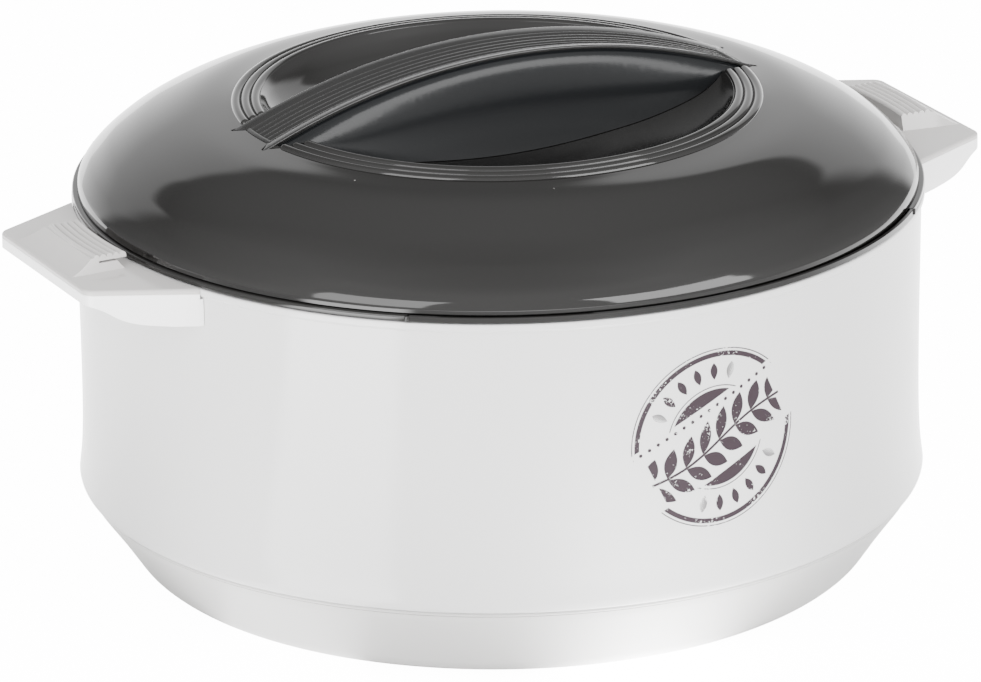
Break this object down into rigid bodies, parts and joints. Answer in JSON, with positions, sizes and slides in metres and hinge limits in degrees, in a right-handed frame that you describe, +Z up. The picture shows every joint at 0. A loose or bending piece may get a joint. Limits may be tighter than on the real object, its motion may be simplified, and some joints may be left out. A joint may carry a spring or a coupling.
{
  "type": "insulated casserole",
  "caption": "Round foam insulated serving casserole with a steel bowl, side handles with ribbed thumb rests, and a lift off domed lid with a bridge grip.",
  "frame": {"origin": "centre of the foot, on the surface it stands on", "axes": "+Z up through the middle of the body and the lid; X along the two side handles, the left handle at -X; Y across, the decorated side towards -Y"},
  "size_m": [0.3472, 0.2966, 0.1847],
  "materials": {
    "body_shell": "glossy white injection moulded polypropylene",
    "base_shell": "white polypropylene, slightly softer gloss",
    "filler_plugs": "white polyethylene snap plug",
    "bowl_steel": "satin stainless steel",
    "insulation": "rigid polyurethane foam",
    "handle_shell": "glossy white polypropylene",
    "handle_plate": "satin white polypropylene",
    "thumb_rest": "satin white polypropylene",
    "screw_steel": "zinc plated steel",
    "lid_shell": "glossy dark warm grey polypropylene",
    "lid_inner": "satin dark warm grey polypropylene",
    "grip_web": "satin blue-grey polypropylene",
    "grip_strip": "satin dark grey polypropylene"
  },
  "bodies": {
    "body": {"outer_casing": "body_shell", "base_cover": "base_shell", "base_plug": "filler_plugs", "inner_bowl": "bowl_steel", "body_foam": "insulation", "left_handle": "handle_shell", "right_handle": "handle_shell", "left_handle_cover": "handle_plate", "right_handle_cover": "handle_plate", "left_thumb_pad": "thumb_rest", "right_thumb_pad": "thumb_rest", "handle_screws": "screw_steel"},
    "lid": {"lid_dome": "lid_shell", "lid_liner": "lid_inner", "lid_foam": "insulation", "lid_plug": "filler_plugs", "lid_grip": "grip_web", "grip_cap": "grip_strip", "grip_screws": "screw_steel"}
  },
  "joints": [
    {"name": "lid_lift", "type": "slide", "parent": "body", "child": "lid", "axis": [0, 0, 1], "range_m": [0, 0.12]}
  ]
}
